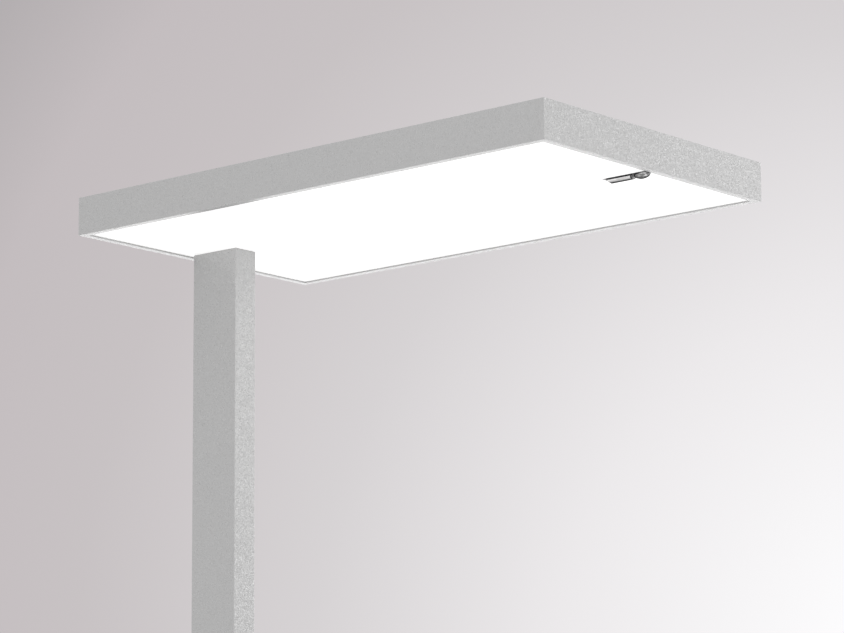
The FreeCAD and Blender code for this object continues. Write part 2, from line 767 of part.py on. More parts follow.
def driver_strip():
    """The sheet strip that hangs from the spigot and carries the driver."""
    tab = mast_section(-MAST_WALL - STRIP_WALL_GAP, STRIP_TOP - STRIP_THICKNESS, STRIP_TOP)
    strip = block(
        DRIVER_REAR_X,
        DRIVER_FRONT_X,
        STRIP_Y,
        DRIVER_Y,
        TERMINAL_BOTTOM - STRIP_TAIL,
        STRIP_TOP,
    )
    holes = [cylinder(HEAD_CABLE_BORE / 2, STRIP_THICKNESS, Vector(0, 0, STRIP_TOP), DOWN)]
    holes += [straight_hole(p, UP, FRAME_SCREW, STRIP_THICKNESS) for p in strip_screw_seats()]
    return tab.fuse(strip).cut(holes).removeSplitter()


def strip_screws():
    return [pan_screw(p, UP, FRAME_SCREW, TRAY_SCREW_LENGTH) for p in strip_screw_seats()]


def led_driver():
    """The slim driver that feeds the light boards."""
    return block(
        DRIVER_REAR_X,
        DRIVER_FRONT_X,
        DRIVER_Y,
        DRIVER_Y + DRIVER_THICKNESS,
        DRIVER_BOTTOM,
        DRIVER_TOP,
    )


def terminal_block():
    return block(
        DRIVER_REAR_X,
        DRIVER_FRONT_X,
        DRIVER_Y,
        DRIVER_Y + TERMINAL_THICKNESS,
        TERMINAL_BOTTOM,
        TERMINAL_TOP,
    )


def mains_cable():
    """The cable from the inlet's tabs up the mast to the terminal block."""
    route = [
        Vector(PIN_TAB_X, 0, INLET_HEIGHT),
        Vector(MAINS_CABLE_X, 0, INLET_HEIGHT),
        Vector(MAINS_CABLE_X, 0, TERMINAL_BOTTOM),
    ]
    return cable(route, MAINS_CABLE_BEND, MAINS_CABLE_DIAMETER)


def control_cable():
    """The thin cable from the control board up to the terminal block."""
    x = BOARD_REAR_X - CONTROL_CABLE_DIAMETER / 2
    start = Vector(x, 0, CONTROL_HEIGHT)
    return cylinder(CONTROL_CABLE_DIAMETER / 2, TERMINAL_BOTTOM - CONTROL_HEIGHT, start, UP)


def head_cable():
    """The cable from the driver up through the bracket and forward to the light boards."""
    level = TRAY_TOP + HEAD_CABLE_CLEARANCE + HEAD_CABLE_DIAMETER / 2
    route = [
        Vector(0, 0, DRIVER_TOP),
        Vector(0, 0, level),
        Vector(up_board_rear_x(), 0, level),
    ]
    return cable(route, HEAD_CABLE_BEND, HEAD_CABLE_DIAMETER)


# ---- Bracket and spines inside the head ------------------------------------------------------------

def head_bracket():
    """The flange that carries the head, and the spigot that fits down into the mast."""
    flange = block(
        HEAD_REAR + LEDGE_WIDTH + FLANGE_SETBACK,
        FLANGE_FRONT_X,
        -FLANGE_WIDTH / 2,
        FLANGE_WIDTH / 2,
        TRAY_TOP,
        SPINE_TOP,
    )
    lap = block(
        FLANGE_FRONT_X,
        LAP_FRONT_X,
        -FLANGE_WIDTH / 2,
        FLANGE_WIDTH / 2,
        TRAY_TOP,
        TRAY_TOP + LAP_THICKNESS,
    )
    spigot = mast_section(-MAST_WALL - SPIGOT_CLEARANCE, SPIGOT_BOTTOM, TRAY_TOP)
    bore = cylinder(
        HEAD_CABLE_BORE / 2, SPIGOT_LENGTH + SPINE_HEIGHT, Vector(0, 0, SPIGOT_BOTTOM), UP
    )
    cable_way = block(
        0, LAP_FRONT_X, -HEAD_CABLE_BORE / 2, HEAD_CABLE_BORE / 2, TRAY_TOP, SPINE_TOP
    )
    bend_way = block(
        0,
        HEAD_CABLE_BORE / 2 + HEAD_CABLE_BEND,
        -HEAD_CABLE_BORE / 2,
        HEAD_CABLE_BORE / 2,
        TRAY_TOP - HEAD_CABLE_BEND,
        TRAY_TOP,
    )
    holes = [countersunk_hole(p, DOWN, FRAME_SCREW, SPINE_HEIGHT) for p in lap_screw_tops()]
    holes += [straight_hole(p, UP, FRAME_SCREW, TRAY_SCREW_LENGTH) for p in strip_screw_seats()]
    holes += [
        straight_hole(p, direction, FRAME_SCREW, TRAY_SCREW_LENGTH)
        for p, direction in spigot_screw_seats()
    ]
    return flange.fuse([lap, spigot]).cut([bore, cable_way, bend_way] + holes).removeSplitter()


def spigot_screws():
    return [
        pan_screw(p, direction, FRAME_SCREW, TRAY_SCREW_LENGTH)
        for p, direction in spigot_screw_seats()
    ]


def head_spine(side):
    """A flat bar along the head, which laps over the bracket at its rear end."""
    y = side * SPINE_Y
    whole = block(
        FLANGE_FRONT_X + LAP_CLEARANCE,
        SPINE_FRONT_X,
        y - SPINE_WIDTH / 2,
        y + SPINE_WIDTH / 2,
        TRAY_TOP,
        SPINE_TOP,
    )
    lap = block(
        FLANGE_FRONT_X,
        LAP_FRONT_X + LAP_CLEARANCE,
        y - SPINE_WIDTH / 2,
        y + SPINE_WIDTH / 2,
        TRAY_TOP,
        TRAY_TOP + LAP_THICKNESS,
    )
    holes = [countersunk_hole(p, DOWN, FRAME_SCREW, SPINE_HEIGHT) for p in lap_screw_tops()]
    holes += [straight_hole(p, UP, COVER_SCREW, TRAY_SCREW_LENGTH) for p in tray_screw_seats()]
    return whole.cut([lap] + holes)


def lap_screws():
    return [countersunk_screw(p, DOWN, FRAME_SCREW, SPINE_HEIGHT) for p in lap_screw_tops()]


def tray_screws():
    return [pan_screw(p, UP, COVER_SCREW, TRAY_SCREW_LENGTH) for p in tray_screw_seats()]


# ---- Frame of the head ------------------------------------------------------------------------------

def frame_ring():
    """The head's frame before it is cut at the mitres: wall, lower lip and upper ledge."""
    ring = head_section(0, HEAD_UNDERSIDE, OVERALL_HEIGHT)
    cuts = [
        head_section(LIP_WIDTH, HEAD_UNDERSIDE, LIP_TOP),
        head_section(RAIL_WALL, LIP_TOP, LEDGE_UNDERSIDE),
        head_section(LEDGE_WIDTH, LEDGE_UNDERSIDE, LEDGE_TOP),
        head_section(RAIL_WALL, LEDGE_TOP, OVERALL_HEIGHT),
    ]
    cuts += [
        countersunk_hole(p, DOWN, SMALL_SCREW, KEY_SCREW_LENGTH) for p in key_screw_tops()
    ]
    cuts += [
        countersunk_hole(p, DOWN, COVER_SCREW, COVER_SCREW_LENGTH) for p in cover_screw_tops()
    ]
    return ring.cut(cuts)


def mitre_wedges():
    """The four prisms that part the frame at its mitred corners, by rail name."""
    reach = max(LIP_WIDTH, LEDGE_WIDTH) + MITRE_MARGIN
    outer = []
    inner = []
    for sign_x, sign_y in corner_signs():
        x = HEAD_FRONT if sign_x > 0 else HEAD_REAR
        y = sign_y * HEAD_SIDE
        outer.append(Vector(x, y, HEAD_UNDERSIDE))
        inner.append(Vector(x - sign_x * reach, y - sign_y * reach, HEAD_UNDERSIDE))
    wedges = {}
    for k, name in enumerate(("right_rail", "front_rail", "left_rail", "rear_rail")):
        after = (k + 1) % 4
        ring = [outer[k], outer[after], inner[after], inner[k], outer[k]]
        wedges[name] = Part.Face(Part.makePolygon(ring)).extrude(UP * HEAD_HEIGHT)
    return wedges


def corner_key(sign_x, sign_y):
    """An angle that stands on the tray in one corner and holds two rails by their ledges."""
    corner_x = (HEAD_FRONT if sign_x > 0 else HEAD_REAR) - sign_x * RAIL_WALL
    corner_y = sign_y * (HEAD_SIDE - RAIL_WALL)

    def arm(length_x, length_y):
        x = sorted((corner_x, corner_x - sign_x * length_x))
        y = sorted((corner_y, corner_y - sign_y * length_y))
        return block(x[0], x[1], y[0], y[1], TRAY_TOP, LEDGE_UNDERSIDE)

    angle = arm(KEY_ARM, KEY_WIDTH).fuse(arm(KEY_WIDTH, KEY_ARM)).removeSplitter()
    holes = [
        countersunk_hole(p, DOWN, SMALL_SCREW, KEY_SCREW_LENGTH) for p in key_screw_tops()
    ]
    return angle.cut(holes)


def corner_keys():
    return [corner_key(sign_x, sign_y) for sign_x, sign_y in corner_signs()]


def corner_key_screws():
    return [
        countersunk_screw(p, DOWN, SMALL_SCREW, KEY_SCREW_LENGTH) for p in key_screw_tops()
    ]


# ---- Diffuser, tray, boards and cover ---------------------------------------------------------------

def mast_opening():
    """The closed cut-out that the mast passes through."""
    return mast_section(MAST_OPENING_CLEARANCE, HEAD_UNDERSIDE, OVERALL_HEIGHT)


def diffuser():
    """The opal sheet that lies on the frame's lip, round the mast and the sensor."""
    sheet = head_section(RAIL_WALL + DIFFUSER_CLEARANCE, LIP_TOP, DIFFUSER_TOP)
    slot = trough_section(TROUGH_WALL + TROUGH_FIT, LIP_TOP, DIFFUSER_TOP)
    return sheet.cut([mast_opening(), slot])


def light_tray():
    """The white pan over the light chamber: its skirt stands on the diffuser's edge."""
    outside = RAIL_WALL + TRAY_CLEARANCE
    pan = head_section(outside, DIFFUSER_TOP, TRAY_TOP)
    chamber = head_section(outside + TRAY_SKIRT, DIFFUSER_TOP, TRAY_UNDERSIDE)
    cuts = [chamber, mast_opening()]
    cuts += [
        straight_hole(p, UP, COVER_SCREW, TRAY_SCREW_LENGTH) for p in tray_screw_seats()
    ]
    cuts.append(straight_hole(sensor_screw_seat(), DOWN, SMALL_SCREW, SENSOR_SCREW_LENGTH))
    return pan.cut(cuts)


def light_board(x0, x1, y, width, z, towards):
    """A board along X with a row of light-emitting diodes, towards +1 for up and -1 for down."""
    low, high = sorted((z, z + towards * BOARD_THICKNESS))
    board = block(x0, x1, y - width / 2, y + width / 2, low, high)
    count = int((x1 - x0 - LED_PITCH / 2) / LED_PITCH) + 1
    first = (x0 + x1 - (count - 1) * LED_PITCH) / 2
    face = z + towards * BOARD_THICKNESS
    low, high = sorted((face, face + towards * LED_HEIGHT))
    diodes = []
    for k in range(count):
        x = first + k * LED_PITCH
        diodes.append(
            block(
                x - LED_SIZE / 2,
                x + LED_SIZE / 2,
                y - LED_SIZE / 2,
                y + LED_SIZE / 2,
                low,
                high,
            )
        )
    return board.fuse(diodes)


def downlight_boards():
    """Boards under the tray, with those beside the mast starting in front of it."""
    boards = []
    for row in range(DOWN_BOARDS_PER_SIDE):
        y = (row + 0.5) * DOWN_BOARD_PITCH
        beside_mast = y - DOWN_BOARD_WIDTH / 2 < MAST_SIDE + BOARD_END_MARGIN
        rear = (MAST_FRONT if beside_mast else HEAD_REAR) + BOARD_END_MARGIN
        for side in (-1, 1):
            boards.append(
                light_board(
                    rear,
                    HEAD_FRONT - BOARD_END_MARGIN,
                    side * y,
                    DOWN_BOARD_WIDTH,
                    TRAY_UNDERSIDE,
                    -1,
                )
            )
    return boards


def up_board_rear_x():
    """Where the uplight boards start, in front of the bracket and under the window."""
    return max(LAP_FRONT_X, HEAD_REAR + COVER_REAR_BORDER) + BOARD_END_MARGIN


def uplight_boards():
    """Three boards on the tray, under the frosted window."""
    return [
        light_board(
            up_board_rear_x(),
            HEAD_FRONT - UP_BOARD_FRONT_MARGIN,
            side * UP_BOARD_OFFSET,
            UP_BOARD_WIDTH,
            TRAY_TOP,
            1,
        )
        for side in (-1, 0, 1)
    ]


def window_outline(lap, z0, z1):
    """A box with the uplight opening's outline, larger by lap on each side."""
    side = HEAD_SIDE - COVER_BORDER + lap
    return block(
        HEAD_REAR + COVER_REAR_BORDER - lap, HEAD_FRONT - COVER_BORDER + lap, -side, side, z0, z1
    )


def top_cover():
    """The sheet that closes the head's top, on the frame's ledge, with the window's opening."""
    sheet = head_section(RAIL_WALL + COVER_CLEARANCE, LEDGE_TOP, OVERALL_HEIGHT)
    holes = [
        countersunk_hole(p, DOWN, COVER_SCREW, COVER_SCREW_LENGTH) for p in cover_screw_tops()
    ]
    return sheet.cut([window_outline(0, LEDGE_TOP, OVERALL_HEIGHT)] + holes)


def uplight_window():
    """The frosted sheet bonded under the cover's opening."""
    return window_outline(WINDOW_LAP, WINDOW_UNDERSIDE, LEDGE_TOP)


def cover_screws():
    return [
        countersunk_screw(p, DOWN, COVER_SCREW, COVER_SCREW_LENGTH) for p in cover_screw_tops()
    ]


# ---- Tilting sensor ----------------------------------------------------------------------------------

def trough_section(wall, z0, z1):
    """A box with the trough's inner outline, larger by wall on each side."""
    half_width = max(KNUCKLE_DIAMETER, SENSOR_TUBE_DIAMETER) / 2 + TROUGH_GAP + wall
    return block(
        SENSOR_TUBE_END_X - TROUGH_END_GAP - wall,
        PIVOT_X + KNUCKLE_LENGTH / 2 + TROUGH_GAP + wall,
        -half_width,
        half_width,
        z0,
        z1,
    )


def sensor_trough():
    """The white trough in the diffuser that the folded sensor lies in."""
    ceiling = SENSOR_Z + max(KNUCKLE_DIAMETER, SENSOR_TUBE_DIAMETER) / 2 + TROUGH_GAP
    outside = trough_section(TROUGH_WALL, LIP_TOP, ceiling + TROUGH_WALL)
    flange = trough_section(TROUGH_FLANGE, DIFFUSER_TOP, DIFFUSER_TOP + TROUGH_WALL)
    inside = trough_section(0, LIP_TOP, ceiling)
    stem_hole = cylinder(
        STEM_DIAMETER / 2 + TROUGH_FIT, TRAY_UNDERSIDE - SENSOR_Z, Vector(STEM_X, 0, SENSOR_Z), UP
    )
    return outside.fuse(flange).cut([inside, stem_hole]).removeSplitter()


def sensor_knuckle():
    """The egg-shaped joint, slotted for the sensor's tongue, with its stem up to the tray."""
    half_length = KNUCKLE_LENGTH / 2
    ellipse = Part.Ellipse(Vector(PIVOT_X, 0, SENSOR_Z), half_length, KNUCKLE_DIAMETER / 2)
    arc = Part.Edge(ellipse, 0, math.pi)
    axis = Part.LineSegment(
        Vector(PIVOT_X - half_length, 0, SENSOR_Z), Vector(PIVOT_X + half_length, 0, SENSOR_Z)
    )
    profile = Part.Face(Part.Wire([arc, axis.toShape()]))
    egg = profile.revolve(Vector(PIVOT_X, 0, SENSOR_Z), FORWARD, 360)
    stem = cylinder(
        STEM_DIAMETER / 2, TRAY_UNDERSIDE - SENSOR_Z, Vector(STEM_X, 0, SENSOR_Z), UP
    )
    swing = TONGUE_END_RADIUS + KNUCKLE_GAP
    half_slot = TONGUE_THICKNESS / 2 + TONGUE_SIDE_CLEARANCE
    slot = block(
        PIVOT_X - KNUCKLE_LENGTH,
        PIVOT_X + swing,
        -half_slot,
        half_slot,
        SENSOR_Z - KNUCKLE_DIAMETER,
        SENSOR_Z + swing,
    )
    pin_hole = pivot_bar(PIVOT_PIN_DIAMETER / 2 + PIVOT_EAR_CLEARANCE, PIVOT_PIN_LENGTH)
    screw_hole = straight_hole(sensor_screw_seat(), DOWN, SMALL_SCREW, SENSOR_SCREW_LENGTH)
    return egg.fuse(stem).cut([slot, pin_hole, screw_hole])


def pivot_bar(radius, length):
    """A round bar on the pivot's axis, centred on the head's middle."""
    return cylinder(radius, length, Vector(PIVOT_X, -length / 2, SENSOR_Z), LEFT)


def sensor_pivot_pin():
    return pivot_bar(PIVOT_PIN_DIAMETER / 2, PIVOT_PIN_LENGTH)


def sensor_screw_seat():
    """Where the screw that holds the knuckle's stem sits on the tray."""
    return Vector(STEM_X, 0, TRAY_TOP)


def sensor_screw():
    return pan_screw(sensor_screw_seat(), DOWN, SMALL_SCREW, SENSOR_SCREW_LENGTH)


def slanted_end(end_x):
    """The wedge that cuts the sensor's free end at 45 degrees, with its top the longest."""
    reach = 2 * SENSOR_TUBE_DIAMETER
    top = SENSOR_Z + SENSOR_TUBE_DIAMETER / 2
    ring = [
        Vector(end_x, -reach, top),
        Vector(end_x + reach, -reach, top - reach),
        Vector(end_x - reach, -reach, top - reach),
        Vector(end_x - reach, -reach, top),
        Vector(end_x, -reach, top),
    ]
    return Part.Face(Part.makePolygon(ring)).extrude(LEFT * (2 * reach))


def sensor_tube():
    """The polished tube that holds the sensor's optics."""
    start = Vector(SENSOR_TUBE_END_X, 0, SENSOR_Z)
    outer = cylinder(SENSOR_TUBE_DIAMETER / 2, SENSOR_TUBE_LENGTH, start, FORWARD)
    bore = cylinder(
        SENSOR_TUBE_DIAMETER / 2 - SENSOR_TUBE_WALL, SENSOR_TUBE_LENGTH, start, FORWARD
    )
    return outer.cut([bore, slanted_end(SENSOR_TUBE_END_X)])


def bore_bar(x0, x1):
    """A bar that fills the sensor tube's bore from x0 to x1."""
    radius = SENSOR_TUBE_DIAMETER / 2 - SENSOR_TUBE_WALL - SENSOR_FIT
    return cylinder(radius, x1 - x0, Vector(x0, 0, SENSOR_Z), FORWARD)


def sensor_lens():
    """The dark optic in the tube's free end, set back a little behind the tube's edge."""
    end_x = SENSOR_TUBE_END_X + SENSOR_LENS_RECESS
    bar = bore_bar(SENSOR_TUBE_END_X, end_x + SENSOR_TUBE_DIAMETER + SENSOR_LENS_LENGTH)
    return bar.cut(slanted_end(end_x))


def sensor_tongue():
    """The dark collar behind the tube, with its plug in the bore and its tongue on the pin."""
    collar = cylinder(
        SENSOR_TUBE_DIAMETER / 2,
        SENSOR_COLLAR_LENGTH,
        Vector(SENSOR_TUBE_REAR_X, 0, SENSOR_Z),
        FORWARD,
    )
    plug = bore_bar(SENSOR_TUBE_REAR_X - SENSOR_PLUG_DEPTH, SENSOR_TUBE_REAR_X)
    bar = block(
        SENSOR_TUBE_REAR_X + SENSOR_COLLAR_LENGTH,
        PIVOT_X,
        -TONGUE_THICKNESS / 2,
        TONGUE_THICKNESS / 2,
        SENSOR_Z - TONGUE_HEIGHT / 2,
        SENSOR_Z + TONGUE_HEIGHT / 2,
    )
    eye = pivot_bar(TONGUE_END_RADIUS, TONGUE_THICKNESS)
    pin_hole = pivot_bar(PIVOT_PIN_DIAMETER / 2 + SENSOR_FIT, PIVOT_PIN_LENGTH)
    return collar.fuse([plug, bar, eye]).cut(pin_hole).removeSplitter()


def sensor_board():
    """The sensor's circuit board on the tray, behind its screw."""
    front = STEM_X - SENSOR_BOARD_GAP
    return block(
        front - SENSOR_BOARD_LENGTH,
        front,
        -SENSOR_BOARD_WIDTH / 2,
        SENSOR_BOARD_WIDTH / 2,
        TRAY_TOP,
        TRAY_TOP + BOARD_THICKNESS,
    )


# ---- The whole lamp -----------------------------------------------------------------------------------

def pieces():
    """Every node's solids by its name."""
    heights = button_heights()
    made = {
        "floor_mat": [floor_mat()],
        "base_plate": [base_plate()],
        "mast_foot_block": [mast_foot_block()],
        "foot_screws": foot_screws(),
        "foot_grub_screws": foot_grub_screws(),
        "mast_tube": [mast_tube()],
        "inlet_housing": [inlet_housing()],
        "inlet_pins": inlet_pins(),
        "control_panel": [control_panel()],
        "control_board": [control_board()],
        "switch_bodies": switch_bodies(),
        "driver_strip": [driver_strip()],
        "strip_screws": strip_screws(),
        "led_driver": [led_driver()],
        "terminal_block": [terminal_block()],
        "mains_cable": [mains_cable()],
        "control_cable": [control_cable()],
        "head_cable": [head_cable()],
        "head_bracket": [head_bracket()],
        "spigot_screws": spigot_screws(),
        "left_spine": [head_spine(1)],
        "right_spine": [head_spine(-1)],
        "lap_screws": lap_screws(),
        "tray_screws": tray_screws(),
        "corner_keys": corner_keys(),
        "corner_key_screws": corner_key_screws(),
        "diffuser": [diffuser()],
        "light_tray": [light_tray()],
        "downlight_boards": downlight_boards(),
        "uplight_boards": uplight_boards(),
        "top_cover": [top_cover()],
        "uplight_window": [uplight_window()],
        "cover_screws": cover_screws(),
        "sensor_trough": [sensor_trough()],
        "sensor_knuckle": [sensor_knuckle()],
        "sensor_pivot_pin": [sensor_pivot_pin()],
        "sensor_screw": [sensor_screw()],
        "sensor_board": [sensor_board()],
        "sensor_tube": [sensor_tube()],
        "sensor_lens": [sensor_lens()],
        "sensor_tongue": [sensor_tongue()],
    }
    ring = frame_ring()
    for name, wedge in mitre_wedges().items():
        made[name] = [ring.common(wedge)]
    for name, height in heights.items():
        made[name + "_button"] = [button(height)]
        made[name + "_plunger"] = [plunger(height)]
    return made


def write(name, solids):
    """Writes one node's file, and stops if a solid isn't sound."""
    for shape in solids:
        if not shape.isValid() or len(shape.Solids) != 1:
            raise ValueError(name + " isn't one sound solid each")
    whole = solids[0] if len(solids) == 1 else Part.makeCompound(solids)
    whole.exportStep(os.path.join(PARTS_FOLDER, name + ".step"))


def main():
    os.makedirs(PARTS_FOLDER, exist_ok=True)
    for name, solids in pieces().items():
        write(name, solids)


main()
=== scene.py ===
import math

import bmesh
import bpy
from mathutils import Matrix, Vector


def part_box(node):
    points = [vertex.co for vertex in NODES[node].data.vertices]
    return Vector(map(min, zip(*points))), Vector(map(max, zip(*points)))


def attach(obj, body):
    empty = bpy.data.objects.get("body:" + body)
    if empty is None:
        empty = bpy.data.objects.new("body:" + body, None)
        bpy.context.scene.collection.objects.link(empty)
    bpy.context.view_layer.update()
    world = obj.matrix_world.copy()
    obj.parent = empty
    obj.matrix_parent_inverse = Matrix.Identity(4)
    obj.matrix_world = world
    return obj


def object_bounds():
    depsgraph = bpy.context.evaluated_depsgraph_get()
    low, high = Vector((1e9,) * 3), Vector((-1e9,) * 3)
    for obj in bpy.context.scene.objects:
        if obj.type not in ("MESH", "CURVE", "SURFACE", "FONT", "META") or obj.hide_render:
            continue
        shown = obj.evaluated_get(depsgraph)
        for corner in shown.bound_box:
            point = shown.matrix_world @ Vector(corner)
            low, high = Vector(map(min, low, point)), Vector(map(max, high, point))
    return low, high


# Looks of the office floor lamp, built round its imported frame. Metres; +Z is up, +X is the way
# the head reaches out from the mast, and the origin is on the floor, on the mast's axis.

MM = 0.001

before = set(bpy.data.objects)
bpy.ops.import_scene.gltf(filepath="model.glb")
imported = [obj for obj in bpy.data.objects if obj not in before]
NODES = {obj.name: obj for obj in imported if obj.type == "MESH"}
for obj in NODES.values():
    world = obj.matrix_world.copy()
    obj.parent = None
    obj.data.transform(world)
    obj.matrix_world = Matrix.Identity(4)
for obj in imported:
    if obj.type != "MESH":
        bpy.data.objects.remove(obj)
CAD_LOW, CAD_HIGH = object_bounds()

# ---- Camera: the photograph's viewing angle --------------------------------------------------

CAMERA_PLACE = Vector((2.3991, -2.4924, 1.1741))
CAMERA_YAW = math.radians(130.526)      # from +X, about +Z
CAMERA_PITCH = math.radians(11.001)
CAMERA_ROLL = math.radians(-0.360)
CAMERA_LENS = 145.409
CAMERA_SENSOR = 36                      # width, in the lens's unit
CAMERA_CLIP = (0.05, 200)
IMAGE_SIZE = (844, 633)                 # pixels


def view_axes():
    """The camera's forward, right and up directions."""
    forward = Vector((
        math.cos(CAMERA_YAW) * math.cos(CAMERA_PITCH),
        math.sin(CAMERA_YAW) * math.cos(CAMERA_PITCH),
        math.sin(CAMERA_PITCH),
    ))
    level_right = Vector((math.sin(CAMERA_YAW), -math.cos(CAMERA_YAW), 0))
    level_up = level_right.cross(forward)
    turn = Matrix.Rotation(CAMERA_ROLL, 3, -forward)
    return forward, turn @ level_right, turn @ level_up


def make_camera():
    data = bpy.data.cameras.new("camera")
    data.sensor_width = CAMERA_SENSOR
    data.lens = CAMERA_LENS
    data.clip_start, data.clip_end = CAMERA_CLIP
    camera = bpy.data.objects.new("camera", data)
    forward, right, up = view_axes()
    turn = Matrix((right, up, -forward)).transposed().to_4x4()
    camera.matrix_world = Matrix.Translation(CAMERA_PLACE) @ turn
    bpy.context.scene.collection.objects.link(camera)
    bpy.context.scene.camera = camera


# ---- Node helpers ----------------------------------------------------------------------------

MIX_A, MIX_B, MIX_RESULT = 6, 7, 2      # places of the mix node's colour sockets
EDGE_ALIKE = 0.85                       # rounded normal along the true one, where an edge is full
EDGE_SAMPLES = 4


class Shading:
    """A node tree with short ways to add nodes and join them. Sizes are in metres."""

    def __init__(self, tree, coordinate="Object"):
        self.tree = tree
        self.place = self.add("ShaderNodeTexCoord").outputs[coordinate]

    def add(self, kind, **settings):
        node = self.tree.nodes.new(kind)
        for key, value in settings.items():
            setattr(node, key, value)
        return node

    def feed(self, source, socket):
        """Joins an output to an input, or sets the input's own value."""
        if isinstance(source, bpy.types.NodeSocket):
            self.tree.links.new(source, socket)
        else:
            socket.default_value = source

    def math(self, operation, a, b=0.0, c=0.0):
        node = self.add("ShaderNodeMath", operation=operation)
        for source, socket in zip((a, b, c), node.inputs):
            self.feed(source, socket)
        return node.outputs[0]

    def vector(self, operation, *sources):
        node = self.add("ShaderNodeVectorMath", operation=operation)
        for source, socket in zip(sources, node.inputs):
            self.feed(source, socket)
        return node.outputs["Value" if operation in ("DOT_PRODUCT", "LENGTH") else "Vector"]

    def span(self, value, low, high, to_low=0.0, to_high=1.0):
        """value from low..high, eased to to_low..to_high and held beyond."""
        node = self.add("ShaderNodeMapRange", interpolation_type="SMOOTHSTEP")
        for source, socket in zip((value, low, high, to_low, to_high), node.inputs):
            self.feed(source, socket)
        return node.outputs["Result"]

    def mix(self, share, a, b):
        """The colour a, or b where share is 1."""
        node = self.add("ShaderNodeMix", data_type="RGBA")
        self.feed(share, node.inputs["Factor"])
        self.feed(a, node.inputs[MIX_A])
        self.feed(b, node.inputs[MIX_B])
        return node.outputs[MIX_RESULT]

    def add_after(self, kind, source):
        node = self.add(kind)
        self.feed(source, node.inputs[0])
        return node

    def axis(self, name):
        """One coordinate of the place, X, Y or Z."""
        return self.add_after("ShaderNodeSeparateXYZ", self.place).outputs[name]

    def noise(self, size, detail=3.0, roughness=0.5, stretch=(1, 1, 1)):
        """Soft noise whose blobs are about size across, drawn out along each axis by stretch."""
        node = self.add("ShaderNodeTexNoise")
        drawn_out = self.vector("MULTIPLY", self.place, [1 / (size * s) for s in stretch])
        self.feed(drawn_out, node.inputs["Vector"])
        node.inputs["Scale"].default_value = 1
        node.inputs["Detail"].default_value = detail
        node.inputs["Roughness"].default_value = roughness
        return node.outputs["Fac"]

    def cells(self, size, feature="F1"):
        """The outputs of random cells about size across."""
        node = self.add("ShaderNodeTexVoronoi", feature=feature)
        self.feed(self.vector("MULTIPLY", self.place, [1 / size] * 3), node.inputs["Vector"])
        node.inputs["Scale"].default_value = 1
        return node.outputs

    def bump(self, height, depth, strength):
        """A normal from a height of 0 to 1, depth deep."""
        node = self.add("ShaderNodeBump")
        node.inputs["Strength"].default_value = strength
        node.inputs["Distance"].default_value = depth
        self.feed(height, node.inputs["Height"])
        return node.outputs["Normal"]

    def tilted(self, normal, size, tilt):
        """The normal, leaning a random way in each small cell, as metal flakes lie: most flakes
        lean little, and a few lean up to tilt along each axis."""
        spread = self.vector("SUBTRACT", self.cells(size)["Color"], (0.5, 0.5, 0.5))
        cubed = self.vector("MULTIPLY", self.vector("MULTIPLY", spread, spread), spread)
        lean = self.vector("MULTIPLY", cubed, [8 * tilt] * 3)
        return self.vector("NORMALIZE", self.vector("ADD", normal, lean))

    def edges(self, radius):
        """1 close to sharp edges and 0 on flat stretches."""
        rounded = self.add("ShaderNodeBevel", samples=EDGE_SAMPLES)
        rounded.inputs["Radius"].default_value = radius
        true_normal = self.add("ShaderNodeNewGeometry").outputs["Normal"]
        alike = self.vector("DOT_PRODUCT", rounded.outputs["Normal"], true_normal)
        return self.span(alike, 1.0, EDGE_ALIKE)


class Finish(Shading):
    """A material built on one Principled shader."""

    def __init__(self, name, **sockets):
        self.material = bpy.data.materials.new(name)
        self.material.use_nodes = True
        super().__init__(self.material.node_tree)
        self.shader = self.tree.nodes["Principled BSDF"]
        for label, value in sockets.items():
            self.shader.inputs[label.replace("_", " ")].default_value = value

    def drive(self, **sources):
        """Joins outputs to the shader's inputs, each named with _ for a space."""
        for label, source in sources.items():
            self.feed(source, self.shader.inputs[label.replace("_", " ")])
        return self.material


def grey(value, warm=0.0):
    """A linear grey, or a warm one."""
    return (value * (1 + warm), value, value * (1 - warm), 1.0)


def scaled(colour, factor):
    """The colour, lighter or darker by a factor, up to white."""
    return tuple(min(1.0, c * factor) for c in colour[:3]) + (1.0,)


# ---- Backdrop, floor and light ----------------------------------------------------------------

BACKDROP_TONE = (0.82, 0.81, 0.81, 1.0)
BACKDROP_STOPS = (                              # from the bright spot outwards
    (0.10, (0.985, 0.980, 0.990)),
    (0.35, (0.840, 0.820, 0.832)),
    (0.56, (0.675, 0.650, 0.660)),
    (0.76, (0.575, 0.540, 0.550)),
    (0.89, (0.550, 0.510, 0.523)),
    (1.00, (0.455, 0.428, 0.438)),
)
FRAME_HALF_WIDTH = CAMERA_SENSOR / 2 / CAMERA_LENS      # tangents, from the view's middle
FRAME_HALF_HEIGHT = FRAME_HALF_WIDTH * IMAGE_SIZE[1] / IMAGE_SIZE[0]
BRIGHT_SPOT = (1.30, -1.15)                     # half widths right, half heights up
GRADIENT_REACH = 0.341                          # from the bright spot to the darkest corner
PATCH_INNER = math.cos(math.radians(11))        # the gradient fills this cone round the view
PATCH_OUTER = math.cos(math.radians(32))        # and has faded out here
DAYLIGHT = 0.82                                 # plain soft light from all round
FLOOR_RADIUS = 60.0
FLOOR_FADE = (0.8, 4.2)                         # where the floor turns into the backdrop
FLOOR_SIDES = 96
LAMP_AIM = 0.75                                 # share of the object's height


def seen_directly(shading):
    """1 for camera, mirror and glass rays, which should see the pale backdrop."""
    path = shading.add("ShaderNodeLightPath").outputs
    mirrored = shading.math("MAXIMUM", path["Is Glossy Ray"], path["Is Transmission Ray"])
    return shading.math("MAXIMUM", path["Is Camera Ray"], mirrored)


